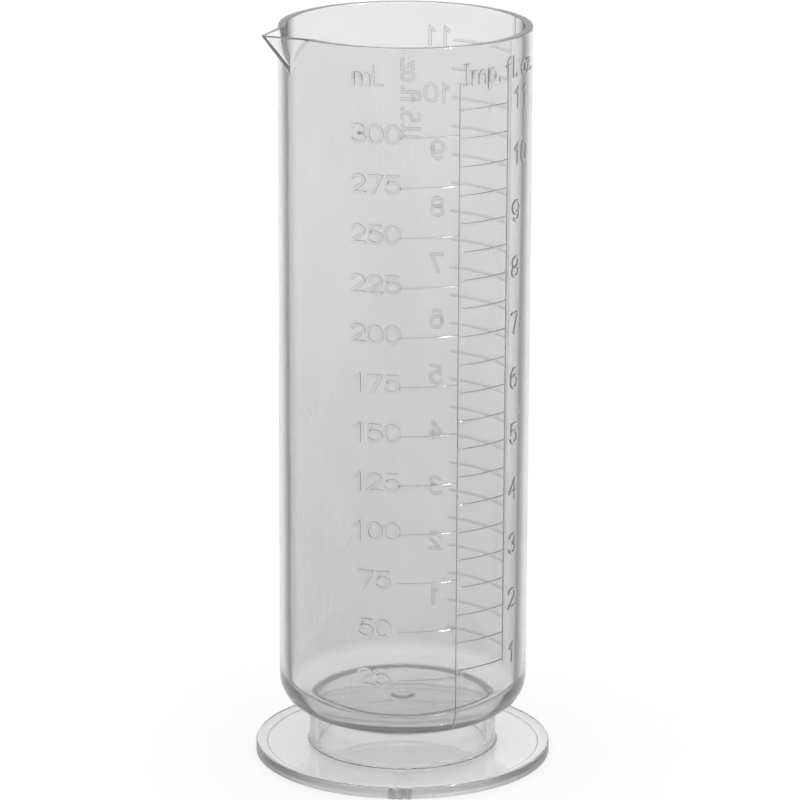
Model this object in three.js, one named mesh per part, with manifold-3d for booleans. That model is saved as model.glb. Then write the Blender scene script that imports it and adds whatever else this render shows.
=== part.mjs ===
// A clear plastic measuring cylinder, the "graduate" that darkroom chemicals are measured in.
// A one-piece tube with a closed floor, a V-shaped pouring lip and raised volume scales stands on a
// separately moulded foot, and a ring of cement joins the two.
// Millimetres, +Z up. The origin is the centre of the foot's underside. The lip points to -X, one degree
// off, and the rail that the millilitre and imperial scales share faces -Y.
import * as THREE from "three";
import { ConvexGeometry } from "three/addons/geometries/ConvexGeometry.js";
import { mergeVertices } from "three/addons/utils/BufferGeometryUtils.js";
import Module from "manifold-3d";

// ---- Driving dimensions ----

const TOTAL_HEIGHT = 171;

const TUBE_RADIUS = 28.5;
const BORE_RADIUS_TOP = 26.65;
const BORE_RADIUS_BOTTOM = 26.3; // the core that shapes the bore is tapered so that it can be drawn out
const FLOOR_UNDERSIDE = 11.3;
const FLOOR_THICKNESS = 2.7;
const OUTER_CORNER_RADIUS = 7.6;
const INNER_CORNER_RADIUS = 6.2;
const RIM_CHAMFER = 0.4;

const GATE_RADIUS = 2.8; // where the plastic entered, at the centre of the floor
const GATE_HEIGHT = 0.9;

const LIP_REACH = 6.6; // from the tube's outside to the lip's tip
const LIP_DEPTH = 8.6; // from the rim down to the foot of the lip's keel
const LIP_HALF_ANGLE = 15.5; // degrees either side of the tip
const LIP_WALL = 0.9;
const LIP_TIP_SETBACK = 1.3; // how far the channel's tip stands back, in walls
const LIP_ROOT_DEPTH = 6; // how deep the lip's wedge is sunk into the tube
const LIP_ANGLE = -91; // degrees round the tube, from -Y towards +X

const FOOT_RADIUS = 34;
const FOOT_THICKNESS = 2.7;
const SKIRT_WIDTH = 2.6; // the ring that the foot rests on
const SKIRT_DEPTH = 0.4;
const FOOT_EDGE_CHAMFER = 0.5;
const COLLAR_RADIUS = 21.6;
const COLLAR_WALL = 2;
const COLLAR_FILLET = 0.5;
const CEMENT_THICKNESS = 0.3;
const CEMENT_BEAD = 0.6; // how far the cement has crept out past the collar
const CEMENT_SETBACK = 0.3; // how far the film stops short of the collar's inside
const FOOT_GATE = { width: 5.2, depth: 0.5, height: 1.6, angle: -26 };

const MARK_HEIGHT = 0.35; // how far the scale stands out from the tube
const MARK_WIDTH = 0.6;
const MARK_ROOT = 0.5; // how deep a mark is sunk into the wall that it grows from

const CUBIC_MM_PER_ML = 1000;
const ML_PER_IMPERIAL_OUNCE = 28.4131;
const ML_PER_US_OUNCE = 29.5735;

const ROUND_STEPS = 72;
const OUTER_CORNER_STEPS = 7;
const INNER_CORNER_STEPS = 6;
const FILLET_STEPS = 3;
const MARK_STEP = 5; // degrees between the steps of a curved mark

const BORE_FLOOR = FLOOR_UNDERSIDE + FLOOR_THICKNESS;
const ABOVE_RIM = TOTAL_HEIGHT + 1; // where the shapes that are cut out of the rim end
const COLLAR_TOP = FLOOR_UNDERSIDE - CEMENT_THICKNESS;

// The scales: millilitres, imperial fluid ounces and US fluid ounces. Angles are measured as the lip's is.
const SCALES = [
  { unit: 1, first: 25, last: 300, step: 25, from: -27, to: 0 },
  { unit: ML_PER_IMPERIAL_OUNCE, first: 1, last: 11, step: 0.5, from: 0, to: 27.5 },
  { unit: ML_PER_US_OUNCE, first: 0.5, last: 11, step: 0.5, from: 90, to: 131 },
];
const RAIL_RISE = 6; // how far the imperial rails run on above the last mark

// ---- Helpers ----

const wasm = await Module();
wasm.setup();

// A closed geometry as a solid that can be joined and cut.
function solidOf(geometry) {
  const bare = geometry.clone();
  bare.deleteAttribute("normal");
  bare.deleteAttribute("uv");
  const merged = mergeVertices(bare, 1e-4);
  const mesh = new wasm.Mesh({
    numProp: 3,
    vertProperties: merged.attributes.position.array,
    triVerts: new Uint32Array(merged.index.array),
  });
  return new wasm.Manifold(mesh);
}

// A solid back as a geometry with flat faces.
function geometryOf(solid) {
  const mesh = solid.getMesh();
  const geometry = new THREE.BufferGeometry();
  geometry.setAttribute("position", new THREE.BufferAttribute(mesh.vertProperties, 3));
  geometry.setIndex(new THREE.BufferAttribute(mesh.triVerts, 1));
  const faceted = geometry.toNonIndexed();
  faceted.computeVertexNormals();
  return faceted;
}

// Turns [radius, height] points round the Z axis.
function turned(profile) {
  const points = profile.map(([radius, height]) => new THREE.Vector2(radius, height));
  return new THREE.LatheGeometry(points, ROUND_STEPS).rotateX(Math.PI / 2);
}

// Points along an arc of a profile, with angles in degrees from the outward radial direction.
function arc(centreRadius, centreHeight, radius, start, end, steps) {
  return Array.from({ length: steps + 1 }, (_, i) => {
    const angle = THREE.MathUtils.degToRad(start + ((end - start) * i) / steps);
    return [centreRadius + radius * Math.cos(angle), centreHeight + radius * Math.sin(angle)];
  });
}

// A curved bar that grows out of the tube's wall, between two angles and two heights.
function wallBar(fromDegrees, toDegrees, low, high) {
  const steps = Math.max(1, Math.round((toDegrees - fromDegrees) / MARK_STEP));
  const from = THREE.MathUtils.degToRad(fromDegrees - 90);
  const to = THREE.MathUtils.degToRad(toDegrees - 90);
  const outline = new THREE.Shape();
  outline.absarc(0, 0, TUBE_RADIUS + MARK_HEIGHT, from, to, false);
  outline.absarc(0, 0, TUBE_RADIUS - MARK_ROOT, to, from, true);
  const bar = new THREE.ExtrudeGeometry(outline, {
    depth: high - low,
    bevelEnabled: false,
    curveSegments: steps,
  });
  return bar.translate(0, 0, low);
}

// ---- The tube ----

function boreRadius(height) {
  const share = (height - BORE_FLOOR) / (TOTAL_HEIGHT - BORE_FLOOR);
  return BORE_RADIUS_BOTTOM + (BORE_RADIUS_TOP - BORE_RADIUS_BOTTOM) * share;
}

// The bore's radius at a height, with the rounded corner at the floor taken in.
function wettedRadius(height) {
  const intoCorner = Math.max(0, BORE_FLOOR + INNER_CORNER_RADIUS - height);
  const inset = INNER_CORNER_RADIUS - Math.sqrt(INNER_CORNER_RADIUS ** 2 - intoCorner ** 2);
  return boreRadius(height) - inset;
}

// The height that a volume fills the bore to, found by stacking thin slices.
function fillHeight(millilitres) {
  const slice = 0.02;
  let height = BORE_FLOOR;
  let filled = 0;
  while (filled < millilitres * CUBIC_MM_PER_ML) {
    filled += Math.PI * wettedRadius(height + slice / 2) ** 2 * slice;
    height += slice;
  }
  return height;
}

function tubeOutside() {
  const cornerAcross = TUBE_RADIUS - OUTER_CORNER_RADIUS;
  const cornerUp = FLOOR_UNDERSIDE + OUTER_CORNER_RADIUS;
  return solidOf(
    turned([
      [0, FLOOR_UNDERSIDE - GATE_HEIGHT],
      [GATE_RADIUS / 2, FLOOR_UNDERSIDE - GATE_HEIGHT],
      [GATE_RADIUS, FLOOR_UNDERSIDE],
      ...arc(cornerAcross, cornerUp, OUTER_CORNER_RADIUS, -90, 0, OUTER_CORNER_STEPS),
      [TUBE_RADIUS, TOTAL_HEIGHT - RIM_CHAMFER],
      [TUBE_RADIUS - RIM_CHAMFER, TOTAL_HEIGHT],
      [0, TOTAL_HEIGHT],
    ]),
  );
}

function bore() {
  const cornerCentre = BORE_FLOOR + INNER_CORNER_RADIUS;
  const cornerRadius = boreRadius(cornerCentre) - INNER_CORNER_RADIUS;
  return solidOf(
    turned([
      [0, BORE_FLOOR],
      ...arc(cornerRadius, cornerCentre, INNER_CORNER_RADIUS, -90, 0, INNER_CORNER_STEPS),
      [boreRadius(TOTAL_HEIGHT - RIM_CHAMFER), TOTAL_HEIGHT - RIM_CHAMFER],
      [BORE_RADIUS_TOP + RIM_CHAMFER, TOTAL_HEIGHT],
      [BORE_RADIUS_TOP + RIM_CHAMFER, ABOVE_RIM],
      [0, ABOVE_RIM],
    ]),
  );
}

// The V of the pouring lip: flat sides from two roots on the tube to a sharp keel, widening upwards.
// The lip's outside and its channel are the same shape, set in from each other by the wall.
function lipWedge(inset, top) {
  const rootRadius = TUBE_RADIUS - inset;
  const tipRadius = TUBE_RADIUS + LIP_REACH - LIP_TIP_SETBACK * inset;
  const keelFoot = TOTAL_HEIGHT - LIP_DEPTH + inset;
  const spread = THREE.MathUtils.degToRad(LIP_HALF_ANGLE) * (rootRadius / TUBE_RADIUS);
  const keelSlope = (tipRadius - rootRadius) / (TOTAL_HEIGHT - keelFoot);
  const widening = (top - keelFoot) / (TOTAL_HEIGHT - keelFoot);
  const buried = rootRadius - LIP_ROOT_DEPTH;
  const halfWidth = rootRadius * Math.sin(spread) * widening;
  const alongX = new ConvexGeometry([
    new THREE.Vector3(rootRadius, 0, keelFoot),
    new THREE.Vector3(rootRadius + keelSlope * (top - keelFoot), 0, top),
    new THREE.Vector3(rootRadius * Math.cos(spread), halfWidth, top),
    new THREE.Vector3(rootRadius * Math.cos(spread), -halfWidth, top),
    new THREE.Vector3(buried, 0, keelFoot),
    new THREE.Vector3(buried, halfWidth, top),
    new THREE.Vector3(buried, -halfWidth, top),
  ]);
  return solidOf(alongX.rotateZ(THREE.MathUtils.degToRad(LIP_ANGLE - 90)));
}

// The marks of every scale, the two rails that frame the imperial one, and the rail of the US one.
function raisedScales() {
  const half = MARK_WIDTH / 2;
  const levelOf = (scale, reading) => fillHeight(reading * scale.unit);
  const marks = SCALES.flatMap((scale) => {
    const count = Math.round((scale.last - scale.first) / scale.step) + 1;
    return Array.from({ length: count }, (_, i) => {
      const level = levelOf(scale, scale.first + scale.step * i);
      return wallBar(scale.from, scale.to, level - half, level + half);
    });
  });

  const [, imperial, us] = SCALES;
  const cornerTop = FLOOR_UNDERSIDE + OUTER_CORNER_RADIUS;
  const imperialTop = levelOf(imperial, imperial.last) + RAIL_RISE;
  const railHalfAngle = THREE.MathUtils.radToDeg(half / TUBE_RADIUS);
  const rail = (angle, low, high) => wallBar(angle - railHalfAngle, angle + railHalfAngle, low, high);
  const rails = [
    rail(imperial.from, cornerTop, imperialTop),
    rail(imperial.to, levelOf(imperial, imperial.first) - half, imperialTop),
    rail(us.from, levelOf(us, us.first) - half, TOTAL_HEIGHT - RIM_CHAMFER),
  ];
  return [...marks, ...rails].map(solidOf);
}

function cylinderBody() {
  let body = tubeOutside().add(lipWedge(0, TOTAL_HEIGHT));
  for (const mark of raisedScales()) {
    body = body.add(mark);
  }
  return geometryOf(body.subtract(bore()).subtract(lipWedge(LIP_WALL, ABOVE_RIM)));
}

// ---- The foot and its joint ----

// A flat closed disc with a resting skirt under its edge and a collar standing up in the middle.
function foot() {
  const inside = COLLAR_RADIUS - COLLAR_WALL;
  const skirtInside = FOOT_RADIUS - SKIRT_WIDTH;
  const filletRadius = COLLAR_RADIUS + COLLAR_FILLET;
  const filletHeight = FOOT_THICKNESS + COLLAR_FILLET;
  const moulding = turned([
    [0, SKIRT_DEPTH],
    [skirtInside, SKIRT_DEPTH],
    [skirtInside, 0],
    [FOOT_RADIUS - FOOT_EDGE_CHAMFER / 2, 0],
    [FOOT_RADIUS, FOOT_EDGE_CHAMFER / 2],
    [FOOT_RADIUS, FOOT_THICKNESS - FOOT_EDGE_CHAMFER],
    [FOOT_RADIUS - FOOT_EDGE_CHAMFER, FOOT_THICKNESS],
    ...arc(filletRadius, filletHeight, COLLAR_FILLET, 270, 180, FILLET_STEPS),
    [COLLAR_RADIUS, COLLAR_TOP],
    [inside, COLLAR_TOP],
    [inside, FOOT_THICKNESS],
    [0, FOOT_THICKNESS],
  ]);
  const sunk = 1;
  const gate = new THREE.BoxGeometry(FOOT_GATE.width, FOOT_GATE.depth + sunk, FOOT_GATE.height);
  gate.translate(0, -FOOT_RADIUS + (sunk - FOOT_GATE.depth) / 2, FOOT_THICKNESS / 2);
  gate.rotateZ(THREE.MathUtils.degToRad(FOOT_GATE.angle));
  return geometryOf(solidOf(moulding).add(solidOf(gate)));
}

// The film of cement between the collar and the floor, and the bead squeezed out round it.
function cementRing() {
  const inside = COLLAR_RADIUS - COLLAR_WALL + CEMENT_SETBACK;
  return turned([
    [inside, COLLAR_TOP],
    [COLLAR_RADIUS, COLLAR_TOP],
    [COLLAR_RADIUS + CEMENT_BEAD, FLOOR_UNDERSIDE],
    [inside, FLOOR_UNDERSIDE],
    [inside, COLLAR_TOP],
  ]);
}

// ---- The assembly ----

const clearPlastic = { roughness: 0.12, metalness: 0, transparent: true };
const tubePlastic = new THREE.MeshStandardMaterial({ ...clearPlastic, color: 0xc9cccd, opacity: 0.4 });
const footPlastic = new THREE.MeshStandardMaterial({ ...clearPlastic, color: 0xc4c7c8, opacity: 0.45 });
const cement = new THREE.MeshStandardMaterial({ ...clearPlastic, color: 0xb9bbb8, opacity: 0.6 });

function part(name, geometry, material) {
  const mesh = new THREE.Mesh(geometry, material);
  mesh.name = name;
  return mesh;
}

const graduate = new THREE.Group();
graduate.name = "measuring_cylinder";
graduate.add(part("cylinder_body", cylinderBody(), tubePlastic));
graduate.add(part("foot", foot(), footPlastic));
graduate.add(part("cement_ring", cementRing(), cement));

export default graduate;
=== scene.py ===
"""A clear plastic measuring cylinder on a pale floor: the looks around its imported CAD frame.

The tube, the foot and the cement are rebuilt as fine meshes of revolution in place of their faceted
CAD solids. The raised lines, figures and unit names of the three scales are swept strokes that lie on
the tube's wall. Lengths are written in millimetres and turned into metres when a mesh is made.
"""

import math

import bmesh
import bpy
from mathutils import Matrix, Vector, noise


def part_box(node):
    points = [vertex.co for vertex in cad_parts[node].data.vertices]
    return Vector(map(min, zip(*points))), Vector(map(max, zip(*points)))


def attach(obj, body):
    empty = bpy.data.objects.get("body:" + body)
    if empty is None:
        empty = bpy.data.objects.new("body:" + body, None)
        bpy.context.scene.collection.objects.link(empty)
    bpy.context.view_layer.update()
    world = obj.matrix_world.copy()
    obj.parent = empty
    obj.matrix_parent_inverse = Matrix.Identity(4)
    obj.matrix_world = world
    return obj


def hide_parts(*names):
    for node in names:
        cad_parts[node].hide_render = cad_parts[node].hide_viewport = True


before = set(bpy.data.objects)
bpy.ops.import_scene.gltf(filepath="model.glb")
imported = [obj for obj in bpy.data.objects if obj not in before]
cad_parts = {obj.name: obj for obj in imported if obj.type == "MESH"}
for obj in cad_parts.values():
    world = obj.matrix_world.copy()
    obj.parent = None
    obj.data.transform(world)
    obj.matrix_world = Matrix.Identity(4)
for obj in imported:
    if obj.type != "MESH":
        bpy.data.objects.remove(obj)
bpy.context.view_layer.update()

MM = 0.001
SHARP_ANGLE = math.radians(40)

# ---- Sizes that come from the frame, in millimetres ----

foot_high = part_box("foot")[1]
TOTAL_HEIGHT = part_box("cylinder_body")[1].z / MM
FOOT_RADIUS = foot_high.x / MM
COLLAR_TOP = foot_high.z / MM
FLOOR_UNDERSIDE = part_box("cement_ring")[1].z / MM

# ---- Sizes that the frame's boxes don't give, the same as in the CAD source ----

TUBE_RADIUS = 28.5
BORE_RADIUS_TOP = 26.65
BORE_RADIUS_BOTTOM = 26.3
FLOOR_THICKNESS = 2.7
OUTER_CORNER_RADIUS = 7.6
INNER_CORNER_RADIUS = 6.2
GATE_RADIUS = 2.8
GATE_HEIGHT = 0.9
LIP_REACH = 6.6
LIP_DEPTH = 8.6
LIP_HALF_ANGLE = 15.5
LIP_WALL = 0.9
LIP_TIP_SETBACK = 1.3  # how far the channel's tip stands back, in walls
LIP_ANGLE = -91.0
FOOT_THICKNESS = 2.7
SKIRT_WIDTH = 2.6
SKIRT_DEPTH = 0.4
COLLAR_RADIUS = 21.6
COLLAR_WALL = 2.0
COLLAR_FILLET = 0.5
CEMENT_SETBACK = 0.3  # how far the film stops short of the collar's inside
FOOT_GATE_ANGLE = -26.0
FOOT_GATE_DEPTH = 0.5
MARK_WIDTH = 0.6
RAIL_RISE = 6.0

# ---- Sizes of the looks alone, where edges are softer and strokes finer than on the CAD solids ----

RIM_ROUNDING = 0.4
LIP_BLEND_OUTSIDE = 0.2
LIP_BLEND_INSIDE = 0.4
KEEL_ROUNDING = 0.5  # degrees either side of the lip's keel
FOOT_GATE_HALF_ANGLE = 4.6
MARK_HEIGHT = 0.22
MARK_SINK = 0.05
FIGURE_WIDTH = 0.8
US_RAIL_WIDTH = 1.1
SHARED_RAIL_FOOT = 14.0  # the rail runs on down over the tube's rounded corner
ROW_SPACING = 3.5
LIP_ROW_SPACING = 0.3

BORE_FLOOR = FLOOR_UNDERSIDE + FLOOR_THICKNESS
CORNER_TOP = FLOOR_UNDERSIDE + OUTER_CORNER_RADIUS
INNER_CORNER_TOP = BORE_FLOOR + INNER_CORNER_RADIUS
CUBIC_MM_PER_ML = 1000
ML_PER_IMPERIAL_OUNCE = 28.4131
ML_PER_US_OUNCE = 29.5735

# The gate's stub under the tube's floor, in shares of its radius and its height.
GATE_PROFILE = [(0.0, 1.0), (0.45, 1.0), (0.55, 0.9), (0.8, 0.25), (1.0, 0.0)]


# ---- Mesh helpers ----

def new_piece(name, vertices, faces, material):
    """A mesh object in the object's frame, made from millimetre vertices and smooth but for its edges."""
    mesh = bpy.data.meshes.new(name)
    mesh.from_pydata([(x * MM, y * MM, z * MM) for x, y, z in vertices], [], faces)
    sheet = bmesh.new()
    sheet.from_mesh(mesh)
    bmesh.ops.recalc_face_normals(sheet, faces=sheet.faces)
    sheet.to_mesh(mesh)
    sheet.free()
    mesh.shade_smooth()
    mesh.set_sharp_from_angle(angle=SHARP_ANGLE)
    mesh.materials.append(material)
    piece = bpy.data.objects.new(name, mesh)
    bpy.context.collection.objects.link(piece)
    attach(piece, "root")
    return piece


def on_wall(angle, radius, height):
    """A point round the tube. Angles are in degrees from -Y towards +X."""
    turn = math.radians(angle)
    return (radius * math.sin(turn), -radius * math.cos(turn), height)


def arc(centre_radius, centre_height, radius, start, end, steps):
    """Profile points along an arc, with angles in degrees from the outward radial direction."""
    points = []
    for i in range(steps + 1):
        angle = math.radians(start + (end - start) * i / steps)
        points.append((centre_radius + radius * math.cos(angle), centre_height + radius * math.sin(angle)))
    return points


def spread(low, high, spacing):
    """Evenly spaced values from low towards high, without high itself."""
    count = max(1, round(abs(high - low) / spacing))
    return [low + (high - low) * i / count for i in range(count)]


def column_angles(fine_centre, fine_half, fine_step, coarse_step):
    """Angles once round, close together about one direction and wider apart elsewhere."""
    fine = spread(fine_centre - fine_half, fine_centre + fine_half, fine_step)
    coarse = spread(fine_centre + fine_half, fine_centre + 360 - fine_half, coarse_step)
    return fine + coarse


def revolve(rows, angles, place):
    """Vertices and faces of rows turned round the axis.

    A row on the axis becomes one point. place(row, angle) gives the point of any other row.
    """
    vertices = []
    starts = []
    for row in rows:
        starts.append(len(vertices))
        if row[0] == 0:
            vertices.append((0, 0, row[1]))
        else:
            vertices.extend(place(row, angle) for angle in angles)
    faces = []
    count = len(angles)
    for lower, upper in zip(range(len(rows) - 1), range(1, len(rows))):
        a, b = starts[lower], starts[upper]
        for i in range(count):
            j = (i + 1) % count
            if rows[lower][0] == 0:
                faces.append((a, b + j, b + i))
            elif rows[upper][0] == 0:
                faces.append((a + i, a + j, b))
            else:
                faces.append((a + i, a + j, b + j, b + i))
    return vertices, faces


# ---- The tube ----

def bore_radius(height):
    share = (height - BORE_FLOOR) / (TOTAL_HEIGHT - BORE_FLOOR)
    return BORE_RADIUS_BOTTOM + (BORE_RADIUS_TOP - BORE_RADIUS_BOTTOM) * share


def smooth_max(a, b, blend):
    """The larger of two lengths, with the step between them rounded over."""
    near = max(0.0, blend - abs(a - b)) / blend
    return max(a, b) + near * near * blend / 4


def lip_surface(angle, height, inset):
    """How far from the axis a flat side of the lip lies, for its outside or for its channel."""
    root = TUBE_RADIUS - inset
    tip = TUBE_RADIUS + LIP_REACH - LIP_TIP_SETBACK * inset
    keel_foot = TOTAL_HEIGHT - LIP_DEPTH + inset
    half_angle = math.radians(LIP_HALF_ANGLE) * root / TUBE_RADIUS
    tip_point = Vector((tip, 0, TOTAL_HEIGHT))
    foot_point = Vector((root, 0, keel_foot))
    root_point = Vector((root * math.cos(half_angle), root * math.sin(half_angle), TOTAL_HEIGHT))
    normal = (root_point - tip_point).cross(foot_point - tip_point)
    keel_rounding = math.radians(KEEL_ROUNDING)
    away = math.radians((angle - LIP_ANGLE + 180) % 360 - 180)
    away = math.sqrt(away * away + keel_rounding * keel_rounding)
    across = normal.x * math.cos(away) + normal.y * math.sin(away)
    return (normal.dot(tip_point) - normal.z * height) / across


def wall_point(row, angle):
    """A point of the tube. A row's share runs from 0 on the bore to 1 on the outside.

    A row without a share lies below the wall, where its own radius holds all round.
    """
    radius, height, share = row
    if share is None:
        return on_wall(angle, radius, height)
    outside, inside = TUBE_RADIUS, bore_radius(height)
    from_lip = abs((angle - LIP_ANGLE + 180) % 360 - 180)
    if from_lip < 2 * LIP_HALF_ANGLE and height > TOTAL_HEIGHT - 1.5 * LIP_DEPTH:
        outside = smooth_max(outside, lip_surface(angle, height, 0), LIP_BLEND_OUTSIDE)
        inside = smooth_max(inside, lip_surface(angle, height, LIP_WALL), LIP_BLEND_INSIDE)
    return on_wall(angle, inside + (outside - inside) * share, height)


def tube_rows():
    """The tube's section from the centre of its underside, up the outside and down the bore."""
    lip_zone = TOTAL_HEIGHT - LIP_DEPTH - 2
    rim = TOTAL_HEIGHT - RIM_ROUNDING
    lip_heights = spread(lip_zone, rim, LIP_ROW_SPACING)
    heights = spread(CORNER_TOP, lip_zone, ROW_SPACING) + lip_heights
    rim_share = RIM_ROUNDING / (TUBE_RADIUS - BORE_RADIUS_TOP)
    underside = [
        (GATE_RADIUS * across, FLOOR_UNDERSIDE - GATE_HEIGHT * down) for across, down in GATE_PROFILE
    ]
    underside += [
        (GATE_RADIUS + 0.4, FLOOR_UNDERSIDE),
        (COLLAR_RADIUS * 0.6, FLOOR_UNDERSIDE),
        (TUBE_RADIUS - OUTER_CORNER_RADIUS - 0.5, FLOOR_UNDERSIDE),
    ]
    underside += arc(TUBE_RADIUS - OUTER_CORNER_RADIUS, CORNER_TOP, OUTER_CORNER_RADIUS, -90, -2, 22)
    rows = [(radius, height, None) for radius, height in underside]
    rows += [(TUBE_RADIUS, height, 1.0) for height in heights]
    rim_curve = []
    for i in range(7):
        turn = math.radians(15 * i)
        rim_curve.append((rim + RIM_ROUNDING * math.sin(turn), rim_share * (1 - math.cos(turn))))
    rows += [(TUBE_RADIUS, height, 1 - share) for height, share in rim_curve]
    rows += [(TUBE_RADIUS, height, share) for height, share in reversed(rim_curve)]
    inner_heights = spread(INNER_CORNER_TOP, lip_zone, ROW_SPACING) + lip_heights
    rows += [(TUBE_RADIUS, height, 0.0) for height in reversed(inner_heights)]
    flat = bore_radius(INNER_CORNER_TOP) - INNER_CORNER_RADIUS
    floor_rows = arc(flat, INNER_CORNER_TOP, INNER_CORNER_RADIUS, -4, -90, 18)
    floor_rows += [
        (flat - 0.4, BORE_FLOOR),
        (flat * 0.6, BORE_FLOOR),
        (GATE_RADIUS + 0.3, BORE_FLOOR),
        (GATE_RADIUS, BORE_FLOOR),
        (GATE_RADIUS * 0.6, BORE_FLOOR + 0.12),
        (0, BORE_FLOOR + 0.2),
    ]
    return rows + [(radius, height, None) for radius, height in floor_rows]


def make_tube(material):
    angles = column_angles(LIP_ANGLE, fine_half=22, fine_step=0.5, coarse_step=1.5)
    vertices, faces = revolve(tube_rows(), angles, wall_point)
    tube = new_piece("tube", vertices, faces, material)
    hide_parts("cylinder_body")


# ---- The foot and its cement ----

def foot_rows():
    """The foot's section from the centre of its underside, round the disc's edge and up over the collar."""
    inside = COLLAR_RADIUS - COLLAR_WALL
    skirt_inside = FOOT_RADIUS - SKIRT_WIDTH
    skirt_rounding = 0.2
    edge = 0.12
    top_edge = 0.4
    hollow_fillet = 0.5
    crest = 0.2
    rows = [(0, SKIRT_DEPTH), (skirt_inside * 0.5, SKIRT_DEPTH), (skirt_inside - 1, SKIRT_DEPTH)]
    rows += arc(skirt_inside - skirt_rounding, SKIRT_DEPTH - skirt_rounding, skirt_rounding, 90, 0, 5)
    rows += arc(skirt_inside + skirt_rounding, skirt_rounding, skirt_rounding, 180, 270, 5)
    rows += [(skirt_inside + 0.6, 0), (FOOT_RADIUS - 0.6, 0)]
    rows += arc(FOOT_RADIUS - edge, edge, edge, -90, 0, 4)
    rows += arc(FOOT_RADIUS - top_edge, FOOT_THICKNESS - top_edge, top_edge, 0, 90, 7)
    rows += [(FOOT_RADIUS - 0.8, FOOT_THICKNESS), (FOOT_RADIUS - 7, FOOT_THICKNESS)]
    rows += [(COLLAR_RADIUS + COLLAR_FILLET + 0.4, FOOT_THICKNESS)]
    rows += arc(COLLAR_RADIUS + COLLAR_FILLET, FOOT_THICKNESS + COLLAR_FILLET, COLLAR_FILLET, 270, 180, 8)
    rows += [(COLLAR_RADIUS, FOOT_THICKNESS + 2), (COLLAR_RADIUS, COLLAR_TOP - 2 * crest)]
    rows += arc(COLLAR_RADIUS - crest, COLLAR_TOP - crest, crest, 0, 90, 4)
    rows += arc(inside + crest, COLLAR_TOP - crest, crest, 90, 180, 4)
    rows += [(inside, COLLAR_TOP - 2 * crest), (inside, FOOT_THICKNESS + 2)]
    rows += arc(inside - hollow_fillet, FOOT_THICKNESS + hollow_fillet, hollow_fillet, 0, -90, 6)
    rows += [(inside - 1, FOOT_THICKNESS), (inside * 0.5, FOOT_THICKNESS), (0, FOOT_THICKNESS)]
    return rows


def foot_point(row, angle):
    """A point of the foot, with the trimmed gate standing out of its edge."""
    radius, height = row
    within_gate = FOOT_GATE_HALF_ANGLE - abs(angle - FOOT_GATE_ANGLE)
    if radius > FOOT_RADIUS - 1.5 and within_gate > 0:
        rough = noise.noise(Vector((angle * 0.6, height * 1.2, 0.3)))
        side = min(1.0, within_gate / 0.5)
        radius = min(radius + side * (0.3 + 0.5 * rough), FOOT_RADIUS + FOOT_GATE_DEPTH)
    return on_wall(angle, radius, height)


def make_foot(material):
    angles = column_angles(FOOT_GATE_ANGLE, fine_half=6, fine_step=0.25, coarse_step=1.5)
    vertices, faces = revolve(foot_rows(), angles, foot_point)
    foot = new_piece("foot_moulding", vertices, faces, material)
    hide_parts("foot")


def make_cement(material):
    """The film between collar and tube, with an uneven bead round it."""
    inside = COLLAR_RADIUS - COLLAR_WALL + CEMENT_SETBACK
    film = FLOOR_UNDERSIDE - COLLAR_TOP
    film_top = FLOOR_UNDERSIDE - 0.01
    rows = [
        (inside, COLLAR_TOP),
        (COLLAR_RADIUS - 0.3, COLLAR_TOP),
        (COLLAR_RADIUS + 0.15, COLLAR_TOP + film * 0.25),
        (COLLAR_RADIUS + 0.35, film_top),
        (inside, film_top),
        (inside, COLLAR_TOP),
    ]

    def place(row, angle):
        radius, height = row
        if radius > COLLAR_RADIUS:
            turn = math.radians(angle)
            creep = noise.noise(Vector((2.5 * math.cos(turn), 2.5 * math.sin(turn), 1.7)))
            radius += 0.3 * creep
        return on_wall(angle, radius, height)

    vertices, faces = revolve(rows, spread(0, 360, 2), place)
    cement = new_piece("cement", vertices, faces, material)
    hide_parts("cement_ring")


# ---- The scales ----

def fill_heights(volumes):
    """The heights that rising volumes in millilitres fill the bore to, by stacking thin slices."""
    thickness = 0.02
    height, filled = BORE_FLOOR, 0.0
    heights = []
    for volume in volumes:
        while filled < volume * CUBIC_MM_PER_ML:
            middle = height + thickness / 2
            into_corner = max(0.0, INNER_CORNER_TOP - middle)
            inset = INNER_CORNER_RADIUS - math.sqrt(INNER_CORNER_RADIUS ** 2 - into_corner ** 2)
            filled += math.pi * (bore_radius(middle) - inset) ** 2 * thickness
            height += thickness
        heights.append(height)
    return heights


IMPERIAL_TOP = fill_heights([11 * ML_PER_IMPERIAL_OUNCE])[0] + RAIL_RISE


def outside_radius(height):
    """How far from the axis the tube's outside is at a height, with the rounded corner at the bottom."""
    into_corner = max(0.0, CORNER_TOP - height)
    inset = OUTER_CORNER_RADIUS - math.sqrt(OUTER_CORNER_RADIUS ** 2 - into_corner ** 2)
    return TUBE_RADIUS - inset


def round_wall(angle):
    """The length round the tube's outside from -Y to an angle in degrees."""
    return math.radians(angle) * TUBE_RADIUS


def bow(x, y, wide, high, start, end, steps=14):
    """Points along part of an ellipse, with angles in degrees from +x."""
    turns = [math.radians(start + (end - start) * i / steps) for i in range(steps + 1)]
    return [(x + wide * math.cos(turn), y + high * math.sin(turn)) for turn in turns]


SIX = bow(0.4, 0.5, 0.4, 0.5, 55, 170, 7) + bow(0.38, 0.32, 0.38, 0.32, 180, 530, 20)

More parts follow.
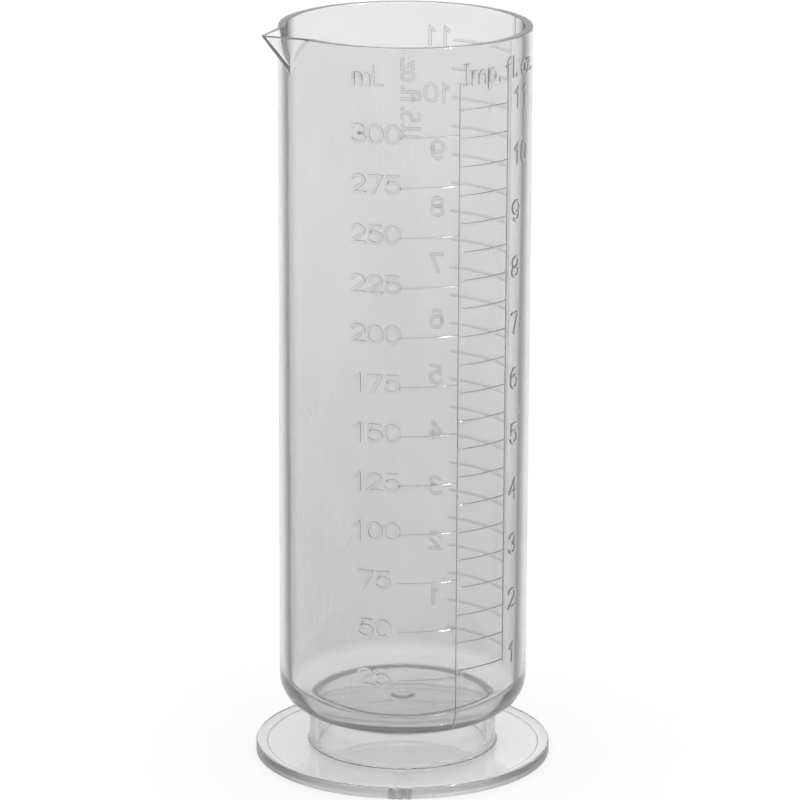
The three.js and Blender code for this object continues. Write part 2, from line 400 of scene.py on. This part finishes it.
# Each character's width and strokes, in a box that is 1 high.
CHARACTERS = {
    "0": (0.78, [bow(0.39, 0.5, 0.39, 0.5, 90, 450, 24)]),
    "1": (0.34, [[(0.0, 0.78), (0.28, 1.0), (0.28, 0.0)]]),
    "2": (0.76, [bow(0.38, 0.72, 0.36, 0.28, 165, -35) + [(0.0, 0.0), (0.76, 0.0)]]),
    "3": (0.74, [bow(0.36, 0.76, 0.32, 0.24, 150, -80) + bow(0.36, 0.26, 0.38, 0.26, 80, -150)]),
    "4": (0.82, [[(0.6, 0.0), (0.6, 1.0)], [(0.55, 0.95), (0.0, 0.3), (0.82, 0.3)]]),
    "5": (0.74, [[(0.68, 1.0), (0.14, 1.0), (0.08, 0.5)] + bow(0.36, 0.33, 0.38, 0.33, 125, -150)]),
    "6": (0.76, [SIX]),
    "7": (0.74, [[(0.0, 1.0), (0.74, 1.0), (0.26, 0.0)]]),
    "8": (0.76, [bow(0.38, 0.75, 0.32, 0.25, -90, 270, 18), bow(0.38, 0.26, 0.38, 0.26, 90, 450, 20)]),
    "9": (0.76, [[(0.76 - x, 1.0 - y) for x, y in SIX]]),
    "m": (0.92, [
        [(0.0, 0.0), (0.0, 0.64)],
        bow(0.23, 0.4, 0.23, 0.22, 180, 0, 8) + [(0.46, 0.0)],
        bow(0.69, 0.4, 0.23, 0.22, 180, 0, 8) + [(0.92, 0.0)],
    ]),
    "L": (0.56, [[(0.0, 1.0), (0.0, 0.0), (0.56, 0.0)]]),
    "I": (0.3, [[(0.15, 0.0), (0.15, 1.0)], [(0.0, 1.0), (0.3, 1.0)], [(0.0, 0.0), (0.3, 0.0)]]),
    "p": (0.58, [[(0.0, -0.3), (0.0, 0.64)], bow(0.29, 0.32, 0.29, 0.32, 180, 540, 16)]),
    "f": (0.42, [bow(0.36, 0.8, 0.2, 0.2, 60, 180, 6) + [(0.16, 0.0)], [(0.0, 0.62), (0.4, 0.62)]]),
    "l": (0.1, [[(0.05, 0.0), (0.05, 1.0)]]),
    "o": (0.6, [bow(0.3, 0.32, 0.3, 0.32, 90, 450, 16)]),
    "z": (0.52, [[(0.0, 0.62), (0.52, 0.62), (0.0, 0.0), (0.52, 0.0)]]),
    "U": (0.68, [[(0.0, 1.0)] + bow(0.34, 0.34, 0.34, 0.34, 180, 360) + [(0.68, 1.0)]]),
    "S": (0.66, [bow(0.33, 0.75, 0.31, 0.25, 35, 260) + bow(0.33, 0.25, 0.33, 0.25, 80, -145)]),
    ".": (0.12, [[(0.06, 0.0), (0.06, 0.06)]]),
    " ": (0.05, []),
}
LETTER_GAP = 0.24


def lettering(text, width, height):
    """A line of text as strokes in millimetres, from its lower left corner, made as wide as asked."""
    natural = sum(CHARACTERS[character][0] for character in text) + LETTER_GAP * (len(text) - 1)
    stretch = width / natural
    left = 0.0
    strokes = []
    for character in text:
        wide, shapes = CHARACTERS[character]
        strokes += [[((left + x) * stretch, y * height) for x, y in shape] for shape in shapes]
        left += wide + LETTER_GAP
    return strokes


def figures(text, pitch, wide, height):
    """A number as strokes in millimetres, centred on its own middle, with its figures at an even pitch."""
    strokes = []
    for i, character in enumerate(text):
        middle = (i - (len(text) - 1) / 2) * pitch
        natural, shapes = CHARACTERS[character]
        stretch = wide / CHARACTERS["0"][0]
        left = middle - natural * stretch / 2
        strokes += [[(left + x * stretch, (y - 0.5) * height) for x, y in shape] for shape in shapes]
    return strokes


def moved(strokes, along, up):
    return [[(x + along, y + up) for x, y in stroke] for stroke in strokes]


def fine(points, longest):
    """The same path with its long stretches cut into short ones."""
    path = [points[0]]
    for (x0, y0), (x1, y1) in zip(points, points[1:]):
        count = max(1, math.ceil(math.hypot(x1 - x0, y1 - y0) / longest))
        path += [(x0 + (x1 - x0) * i / count, y0 + (y1 - y0) * i / count) for i in range(1, count + 1)]
    return path


def stations(path, half):
    """Where the section of a raised line stands: place, sideways direction and width, with round ends."""
    closed = math.dist(path[0], path[-1]) < half / 2
    if closed:
        path = path[:-1]
    count = len(path)
    rows = []
    for i, (x, y) in enumerate(path):
        before = path[i - 1] if closed or i > 0 else path[i]
        after = path[(i + 1) % count] if closed or i < count - 1 else path[i]
        arriving = Vector((x - before[0], y - before[1]))
        leaving = Vector((after[0] - x, after[1] - y))
        ahead = (arriving.normalized() + leaving.normalized()).normalized()
        turn = arriving.normalized().dot(ahead) if arriving.length > 0 else 1.0
        rows.append((Vector((x, y)), Vector((ahead.y, -ahead.x)), min(1.5, 1 / max(turn, 0.1))))
    if closed:
        return rows, True
    cap_turns = [math.radians(angle) for angle in (78, 52, 26)]
    first, last = rows[0], rows[-1]
    back = Vector((first[1].y, -first[1].x)) * half
    onward = Vector((-last[1].y, last[1].x)) * half
    start = [(first[0] + back * math.sin(turn), first[1], math.cos(turn)) for turn in cap_turns]
    end = [(last[0] + onward * math.sin(turn), last[1], math.cos(turn)) for turn in reversed(cap_turns)]
    return start + rows + end, False


# Across a raised line: how far to the side, and how far up, of its half width and its height.
MARK_SECTION = [(-1, 0), (-0.9, 0.62), (-0.62, 0.94), (0, 1), (0.62, 0.94), (0.9, 0.62), (1, 0)]


def add_stroke(vertices, faces, points, width):
    """Adds one raised line that follows points on the unrolled wall to a mesh in the making."""
    rows, closed = stations(fine(points, 0.9), width / 2)
    start = len(vertices)
    across = len(MARK_SECTION)
    for centre, sideways, widening in rows:
        lift = min(1.0, 0.7 + 0.3 * widening)
        for side, up in MARK_SECTION:
            place = centre + sideways * (side * widening * width / 2)
            rise = up * (MARK_HEIGHT + MARK_SINK) * lift - MARK_SINK
            radius = outside_radius(place.y) + rise
            vertices.append(on_wall(math.degrees(place.x / TUBE_RADIUS), radius, place.y))
    spans = len(rows) if closed else len(rows) - 1
    for i in range(spans):
        a = start + i * across
        b = start + (i + 1) % len(rows) * across
        for k in range(across):
            j = (k + 1) % across
            faces.append((a + k, a + j, b + j, b + k))
    if not closed:
        faces.append(tuple(range(start, start + across)))
        faces.append(tuple(range(start + (len(rows) - 1) * across, start + len(rows) * across)))


def make_relief(name, strokes, width, material):
    vertices, faces = [], []
    for stroke in strokes:
        add_stroke(vertices, faces, stroke, width)
    return new_piece(name, vertices, faces, material)


def readings(first, last, step):
    return [first + step * i for i in range(round((last - first) / step) + 1)]


def ticks(heights, start, end):
    """Level lines between two angles in degrees, one at each height."""
    return [[(round_wall(start), height), (round_wall(end), height)] for height in heights]


def rail(angle, low, high):
    return [[(round_wall(angle), low), (round_wall(angle), high)]]


def make_millilitre_scale(material):
    volumes = readings(25, 300, 25)
    levels = fill_heights(volumes)
    lines = ticks(levels, start=-27, end=-0.8) + rail(0, SHARED_RAIL_FOOT, IMPERIAL_TOP)
    make_relief("millilitre_lines", lines, MARK_WIDTH, material)
    numbers = []
    for volume, level in zip(volumes, levels):
        number = figures(str(volume), pitch=3.95, wide=3.2, height=3.8)
        numbers += moved(number, along=round_wall(-38.6), up=level + 0.8)
    unit_name = lettering("mL", width=6.6, height=4.2)
    numbers += moved(unit_name, along=round_wall(-48.6), up=162.6)
    make_relief("millilitre_figures", numbers, FIGURE_WIDTH, material)


def make_imperial_scale(material):
    ounces = readings(1, 11, 0.5)
    levels = fill_heights([ounce * ML_PER_IMPERIAL_OUNCE for ounce in ounces])
    lines = ticks(levels, start=0.8, end=26.7) + rail(27.5, levels[0] - MARK_WIDTH / 2, IMPERIAL_TOP)
    make_relief("imperial_lines", lines, MARK_WIDTH, material)
    numbers = []
    pitch = 3.7
    for ounce, level in zip(ounces, levels):
        if ounce == round(ounce):
            text = str(round(ounce))
            number = figures(text, pitch, wide=2.9, height=4.3)
            numbers += moved(number, along=round_wall(31) + pitch * len(text) / 2, up=level + 0.7)
    unit_name = lettering("Imp. fl. oz.", width=24.8, height=4.3)
    numbers += moved(unit_name, along=round_wall(2), up=162.4)
    make_relief("imperial_figures", numbers, FIGURE_WIDTH, material)


def make_us_scale(material):
    ounces = readings(0.5, 11, 0.5)
    levels = fill_heights([ounce * ML_PER_US_OUNCE for ounce in ounces])
    make_relief("us_lines", ticks(levels, start=90.8, end=131), MARK_WIDTH, material)
    upright = rail(90, levels[0] - MARK_WIDTH / 2, TOTAL_HEIGHT - 1.2)
    make_relief("us_rail", upright, US_RAIL_WIDTH, material)
    numbers = []
    for ounce, level in zip(ounces, levels):
        if ounce == round(ounce):
            number = figures(str(round(ounce)), pitch=3.7, wide=2.9, height=4.1)
            numbers += moved(number, along=round_wall(138.5), up=level + 0.7)
    unit_name = lettering("U.S. fl. oz.", width=18.6, height=4.4)
    upended = [[(-y, x) for x, y in stroke] for stroke in unit_name]
    numbers += moved(upended, along=round_wall(156.5), up=139.2)
    make_relief("us_figures", numbers, FIGURE_WIDTH, material)


# ---- Plastic ----

CLEAR_PLASTIC_IOR = 1.59


def new_material(name):
    """A material that has its Principled node and its output already."""
    material = bpy.data.materials.new(name)
    material.use_nodes = True
    return material


def tree_of(material):
    return material.node_tree.nodes, material.node_tree.links


def stretched_noise(nodes, links, stretch, scale, detail):
    """Noise over the object's own coordinates, drawn out along an axis."""
    place = nodes.new("ShaderNodeTexCoord")
    mapping = nodes.new("ShaderNodeMapping")
    mapping.inputs["Scale"].default_value = stretch
    texture = nodes.new("ShaderNodeTexNoise")
    texture.inputs["Scale"].default_value = scale
    texture.inputs["Detail"].default_value = detail
    links.new(place.outputs["Object"], mapping.inputs["Vector"])
    links.new(mapping.outputs["Vector"], texture.inputs["Vector"])
    return texture


def between(nodes, links, source, low, high, to_low, to_high):
    """A value mapped smoothly from one range to another."""
    spread_out = nodes.new("ShaderNodeMapRange")
    spread_out.interpolation_type = "SMOOTHSTEP"
    for name, value in (("From Min", low), ("From Max", high), ("To Min", to_low), ("To Max", to_high)):
        spread_out.inputs[name].default_value = value
    links.new(source, spread_out.inputs["Value"])
    return spread_out.outputs["Result"]


def faded_in(nodes, links, source, low, high):
    return between(nodes, links, source, low, high, 0.0, 1.0)


def faded_out(nodes, links, source, low, high):
    return between(nodes, links, source, low, high, 1.0, 0.0)


def combined(nodes, links, operation, first, second):
    """Two values put together by a Math node's operation."""
    result = nodes.new("ShaderNodeMath")
    result.operation = operation
    links.new(first, result.inputs[0])
    links.new(second, result.inputs[1])
    return result.outputs["Value"]


def times(nodes, links, first, second):
    return combined(nodes, links, "MULTIPLY", first, second)


def larger(nodes, links, first, second):
    return combined(nodes, links, "MAXIMUM", first, second)


def scratches(nodes, links, tilt, seed):
    """Sparse hairline scratches: one level of a drawn-out noise, kept only here and there."""
    place = nodes.new("ShaderNodeTexCoord")
    mapping = nodes.new("ShaderNodeMapping")
    mapping.inputs["Rotation"].default_value = tilt
    mapping.inputs["Location"].default_value = (seed, 0, 0)
    mapping.inputs["Scale"].default_value = (1.0, 1.0, 0.1)
    grain = nodes.new("ShaderNodeTexNoise")
    grain.inputs["Scale"].default_value = 260
    grain.inputs["Detail"].default_value = 0
    links.new(place.outputs["Object"], mapping.inputs["Vector"])
    links.new(mapping.outputs["Vector"], grain.inputs["Vector"])
    level, half_width = 0.5, 0.006
    rising = faded_in(nodes, links, grain.outputs["Fac"], level - half_width, level)
    falling = faded_out(nodes, links, grain.outputs["Fac"], level, level + half_width)
    hairline = times(nodes, links, rising, falling)
    patches = stretched_noise(nodes, links, stretch=(1, 1, 1), scale=60 + seed, detail=1)
    return times(nodes, links, hairline, faded_in(nodes, links, patches.outputs["Fac"], 0.6, 0.68))


def specks(nodes, links, spacing, share):
    """Round specks: the middles of some of the cells that fill the space, spacing in cells per metre."""
    place = nodes.new("ShaderNodeTexCoord")
    cells = nodes.new("ShaderNodeTexVoronoi")
    cells.inputs["Scale"].default_value = spacing
    links.new(place.outputs["Object"], cells.inputs["Vector"])
    dots = faded_out(nodes, links, cells.outputs["Distance"], 0.015, 0.03)
    lot = nodes.new("ShaderNodeSeparateColor")
    links.new(cells.outputs["Color"], lot.inputs["Color"])
    return times(nodes, links, dots, faded_in(nodes, links, lot.outputs["Red"], 1 - share, 1.0))


def tinted(nodes, links, factor, first, second):
    """A colour between two greys, or between a colour and a grey."""
    mix = nodes.new("ShaderNodeMix")
    mix.data_type = "RGBA"
    links.new(factor, mix.inputs["Factor"])
    for name, shade in (("A", first), ("B", second)):
        if isinstance(shade, float):
            mix.inputs[name].default_value = (shade, shade, shade, 1)
        else:
            links.new(shade, mix.inputs[name])
    return mix.outputs["Result"]


def multiplied(nodes, links, first, second):
    mix = nodes.new("ShaderNodeMix")
    mix.data_type = "RGBA"
    mix.blend_type = "MULTIPLY"
    mix.inputs["Factor"].default_value = 1
    links.new(first, mix.inputs["A"])
    links.new(second, mix.inputs["B"])
    return mix.outputs["Result"]


def height_fade(nodes, links, low, high):
    """0 at the lower height and 1 at the upper one, in millimetres."""
    place = nodes.new("ShaderNodeTexCoord")
    parts = nodes.new("ShaderNodeSeparateXYZ")
    links.new(place.outputs["Object"], parts.inputs["Vector"])
    return faded_in(nodes, links, parts.outputs["Z"], low * MM, high * MM)


def steepness(nodes, links):
    """0 where the surface lies level and 1 where it stands upright."""
    surface = nodes.new("ShaderNodeNewGeometry")
    parts = nodes.new("ShaderNodeSeparateXYZ")
    size = nodes.new("ShaderNodeMath")
    size.operation = "ABSOLUTE"
    links.new(surface.outputs["Normal"], parts.inputs["Vector"])
    links.new(parts.outputs["Z"], size.inputs[0])
    return faded_out(nodes, links, size.outputs["Value"], 0.2, 0.7)


def outwards(nodes, links, low, high):
    """0 at the first radius and 1 at the second one, in millimetres."""
    place = nodes.new("ShaderNodeTexCoord")
    flat = nodes.new("ShaderNodeVectorMath")
    flat.operation = "MULTIPLY"
    flat.inputs[1].default_value = (1, 1, 0)
    reach = nodes.new("ShaderNodeVectorMath")
    reach.operation = "LENGTH"
    links.new(place.outputs["Object"], flat.inputs[0])
    links.new(flat.outputs["Vector"], reach.inputs[0])
    return faded_in(nodes, links, reach.outputs["Value"], low * MM, high * MM)


def grazed_bore(nodes, links):
    """Painted shade: the share of the bore's surface mixed to dark grey where the eye only grazes it.

    From within the wall that is near the angle at which light no longer gets out, and from the bore's
    own side it is where the far wall is met edge on. The ranges suit an eye at the photograph's height.
    """
    most_from_within, most_from_bore = 0.72, 0.6
    facing = nodes.new("ShaderNodeLayerWeight").outputs["Facing"]
    within = nodes.new("ShaderNodeNewGeometry").outputs["Backfacing"]
    rising = between(nodes, links, facing, 0.209, 0.221, 0.0, most_from_within)
    falling = faded_out(nodes, links, facing, 0.223, 0.252)
    near = times(nodes, links, times(nodes, links, rising, falling), within)
    far = between(nodes, links, facing, 0.58, 0.9, 0.0, most_from_bore)
    far = times(nodes, links, far, faded_out(nodes, links, within, 0.0, 1.0))
    in_from_outside = outwards(nodes, links, TUBE_RADIUS - 0.9, TUBE_RADIUS - 1.3)
    on_bore = times(nodes, links, in_from_outside, steepness(nodes, links))
    return times(nodes, links, larger(nodes, links, near, far), on_bore)


def dimmed(nodes, links, surface, painted_share):
    """A surface mixed in part with a flat dark grey, which paints shade onto it."""
    dark = nodes.new("ShaderNodeBsdfDiffuse")
    dark.inputs["Color"].default_value = (0.03, 0.03, 0.03, 1)
    mix = nodes.new("ShaderNodeMixShader")
    links.new(painted_share, mix.inputs["Fac"])
    links.new(surface.outputs["BSDF"], mix.inputs[1])
    links.new(dark.outputs["BSDF"], mix.inputs[2])
    return mix.outputs["Shader"]


def make_plastic(name, clearness, shades, level_painted_tone, absorption, roughness):
    """Clear moulded plastic: slightly hazy, unevenly polished, with hairline scratches and flow ripples.

    shades are the darkest and lightest tint of the haze on upright faces. Level faces get a painted tone in
    its place, lighter or darker to stand in for how bright they look. absorption is the plastic's
    absorption coefficient, per metre.
    """
    speck_shade, scratch_roughness = 0.25, 0.4
    material = new_material(name)
    nodes, links = tree_of(material)
    surface = nodes["Principled BSDF"]
    surface.inputs["Transmission Weight"].default_value = clearness
    surface.inputs["IOR"].default_value = CLEAR_PLASTIC_IOR

    clouds = stretched_noise(nodes, links, stretch=(1, 1, 0.5), scale=60, detail=3)
    cloudy = faded_in(nodes, links, clouds.outputs["Fac"], 0.3, 0.7)
    colour = tinted(nodes, links, cloudy, shades[0], shades[1])
    # Painted tone: level faces take their own grey in place of the haze, for how bright they look.
    colour = tinted(nodes, links, steepness(nodes, links), level_painted_tone, colour)
    colour = tinted(nodes, links, specks(nodes, links, spacing=90, share=0.3), colour, speck_shade)
    links.new(colour, surface.inputs["Base Color"])

    polish = between(nodes, links, clouds.outputs["Fac"], 0.35, 0.75, roughness * 0.6, roughness * 1.5)
    hairlines = scratches(nodes, links, tilt=(0.5, 0.3, 0.0), seed=3.0)
    scratched = between(nodes, links, hairlines, 0.0, 1.0, 0.0, scratch_roughness)
    links.new(larger(nodes, links, polish, scratched), surface.inputs["Roughness"])

    ripples = stretched_noise(nodes, links, stretch=(1, 1, 0.35), scale=140, detail=2)
    bump = nodes.new("ShaderNodeBump")
    bump.inputs["Strength"].default_value = 0.12
    bump.inputs["Distance"].default_value = 0.0002
    links.new(ripples.outputs["Fac"], bump.inputs["Height"])
    links.new(bump.outputs["Normal"], surface.inputs["Normal"])

    absorb = nodes.new("ShaderNodeVolumeAbsorption")
    absorb.inputs["Color"].default_value = (0.5, 0.505, 0.5, 1)
    absorb.inputs["Density"].default_value = absorption * 2  # because the colour above lets half through
    links.new(absorb.outputs["Volume"], nodes["Material Output"].inputs["Volume"])
    return material


def recoloured(material, change):
    """Passes a plastic's base colour through change(nodes, links, colour)."""
    nodes, links = tree_of(material)
    base = nodes["Principled BSDF"].inputs["Base Color"]
    links.new(change(nodes, links, base.links[0].from_socket), base)


def shaded_edge(nodes, links, colour, shade, turn, reach):
    """Painted shade: a darker tint where upright faces turn away from the eye.

    turn is the pair of facing values that it comes in between, and reach is the pair of radii.
    """
    grazing = nodes.new("ShaderNodeLayerWeight")
    turned_away = faded_in(nodes, links, grazing.outputs["Facing"], *turn)
    upright = times(nodes, links, turned_away, steepness(nodes, links))
    masked = times(nodes, links, upright, outwards(nodes, links, *reach))
    return tinted(nodes, links, masked, colour, shade)


def make_tube_plastic():
    """The tube's plastic: darker towards the bottom on upright faces, with a painted dark line on the bore
    where it is seen edge on.
    """
    material = make_plastic(
        "tube_plastic", clearness=0.95, shades=(0.85, 0.89), level_painted_tone=1.0, absorption=24, roughness=0.03
    )

    def change(nodes, links, colour):
        # Upright faces grow darker towards the bottom; level faces keep their tone.
        untinted, lowest_tone = 1.0, 0.91
        darker_low = tinted(nodes, links, height_fade(nodes, links, 20, 160), lowest_tone, untinted)
        darker_low = tinted(nodes, links, steepness(nodes, links), untinted, darker_low)
        return multiplied(nodes, links, colour, darker_low)

    recoloured(material, change)
    nodes, links = tree_of(material)
    # Painted shade: the bore's dark line, mixed in where the eye grazes it.
    with_painted_bore_line = dimmed(nodes, links, nodes["Principled BSDF"], grazed_bore(nodes, links))
    links.new(with_painted_bore_line, nodes["Material Output"].inputs["Surface"])
    return material


def make_foot_plastic():
    """The foot's plastic, with a darker gate, painted shade on the collar's sides and the disc's edge where
    they turn from the eye, and a rough disc edge.
    """
    material = make_plastic(
        "foot_plastic", clearness=0.97, shades=(0.95, 0.98), level_painted_tone=0.84, absorption=4, roughness=0.03
    )
    past_disc = (FOOT_RADIUS + 0.05, FOOT_RADIUS + 0.3)
    disc_edge = (FOOT_RADIUS - 0.6, FOOT_RADIUS - 0.3)
    collar_side = (COLLAR_RADIUS + 1.9, COLLAR_RADIUS + 0.9)
    gate_shade, collar_painted_shade, disc_edge_painted_shade, edge_roughness = 0.25, 0.5, 0.3, 0.35

    def change(nodes, links, colour):
        # Painted shade on the collar's sides and round the disc's edge, where they turn away from the eye.
        colour = tinted(nodes, links, outwards(nodes, links, *past_disc), colour, gate_shade)
        colour = shaded_edge(nodes, links, colour, collar_painted_shade, turn=(0.4, 0.8), reach=collar_side)
        return shaded_edge(nodes, links, colour, disc_edge_painted_shade, turn=(-0.3, 0.6), reach=disc_edge)

    recoloured(material, change)
    nodes, links = tree_of(material)
    roughness = nodes["Principled BSDF"].inputs["Roughness"]
    smooth = roughness.links[0].from_socket
    at_edge = times(nodes, links, outwards(nodes, links, *disc_edge), steepness(nodes, links))
    rough = between(nodes, links, at_edge, 0.0, 1.0, 0.0, edge_roughness)
    links.new(larger(nodes, links, smooth, rough), roughness)
    return material


def make_cement_plastic():
    return make_plastic(
        "cement", clearness=0.9, shades=(0.8, 0.92), level_painted_tone=0.9, absorption=60, roughness=0.2
    )


def make_relief_plastic():
    return make_plastic(
        "scale_relief", clearness=0.97, shades=(0.92, 0.98), level_painted_tone=0.96, absorption=14, roughness=0.08
    )


# ---- Stage, light and camera ----

def make_floor():
    """A pale floor that gives off part of its own light, so that it stays even under the clear foot."""
    material = new_material("pale_floor")
    surface = material.node_tree.nodes["Principled BSDF"]
    surface.inputs["Base Color"].default_value = (0.3, 0.3, 0.3, 1)
    surface.inputs["Roughness"].default_value = 0.9
    surface.inputs["Specular IOR Level"].default_value = 0.0
    surface.inputs["Emission Color"].default_value = (1, 1, 1, 1)
    surface.inputs["Emission Strength"].default_value = 0.68
    mesh = bpy.data.meshes.new("floor")
    half, below = 6.0, -0.0003
    corners = [(-half, -half, below), (half, -half, below), (half, half, below), (-half, half, below)]
    mesh.from_pydata(corners, [], [(0, 1, 2, 3)])
    mesh.materials.append(material)
    floor = bpy.data.objects.new("floor", mesh)
    bpy.context.collection.objects.link(floor)


def make_world():
    """Soft light from all round, dimmer towards the horizon."""
    horizon, overhead = 0.8, 1.25
    world = bpy.data.worlds.new("studio")
    bpy.context.scene.world = world
    world.use_nodes = True
    nodes, links = world.node_tree.nodes, world.node_tree.links
    background = nodes["Background"]
    place = nodes.new("ShaderNodeTexCoord")
    parts = nodes.new("ShaderNodeSeparateXYZ")
    links.new(place.outputs["Generated"], parts.inputs["Vector"])
    sky = between(nodes, links, parts.outputs["Z"], 0.0, 0.8, horizon, overhead)
    background.inputs["Color"].default_value = (1, 1, 1, 1)
    links.new(sky, background.inputs["Strength"])


def make_camera():
    """The photograph's view. Lengths are in metres, and angles in radians."""
    distance = 0.9951
    height = 0.3624
    round_to = math.radians(-25.2)
    pitch = 0.2728
    roll = 0.004
    swing = 0.0009
    data = bpy.data.cameras.new("camera")
    data.sensor_width = 36
    data.lens = 204.0345
    camera = bpy.data.objects.new("camera", data)
    bpy.context.collection.objects.link(camera)
    camera.location = (distance * math.sin(round_to), -distance * math.cos(round_to), height)
    turn = Matrix.Rotation(round_to + swing, 3, "Z") @ Matrix.Rotation(math.pi / 2 - pitch, 3, "X")
    camera.rotation_euler = (turn @ Matrix.Rotation(roll, 3, "Z")).to_euler()
    bpy.context.scene.camera = camera


def make_lamp():
    """One small soft box high on the right, for glints on the plastic only."""
    data = bpy.data.lights.new("soft_box", "AREA")
    data.size = 0.1
    data.energy = 8
    lamp = bpy.data.objects.new("soft_box", data)
    bpy.context.collection.objects.link(lamp)
    lamp.location = (0.3, -0.14, 1.0)
    lamp.visible_diffuse = False
    middle = Vector((0, 0, 0.08))
    towards = middle - lamp.location
    lamp.rotation_euler = towards.to_track_quat("-Z", "Y").to_euler()


def allow_deep_light_paths():
    """Light runs along clear walls by many inner reflections, so short paths would turn the rim black."""
    cycles = bpy.context.scene.cycles
    cycles.max_bounces = 32
    cycles.transmission_bounces = 24
    cycles.glossy_bounces = 20


make_camera()
allow_deep_light_paths()
make_world()
make_lamp()
make_floor()
make_tube(make_tube_plastic())
make_foot(make_foot_plastic())
make_cement(make_cement_plastic())
relief = make_relief_plastic()
make_millilitre_scale(relief)
make_imperial_scale(relief)
make_us_scale(relief)
bpy.context.scene.view_settings.view_transform = "Standard"
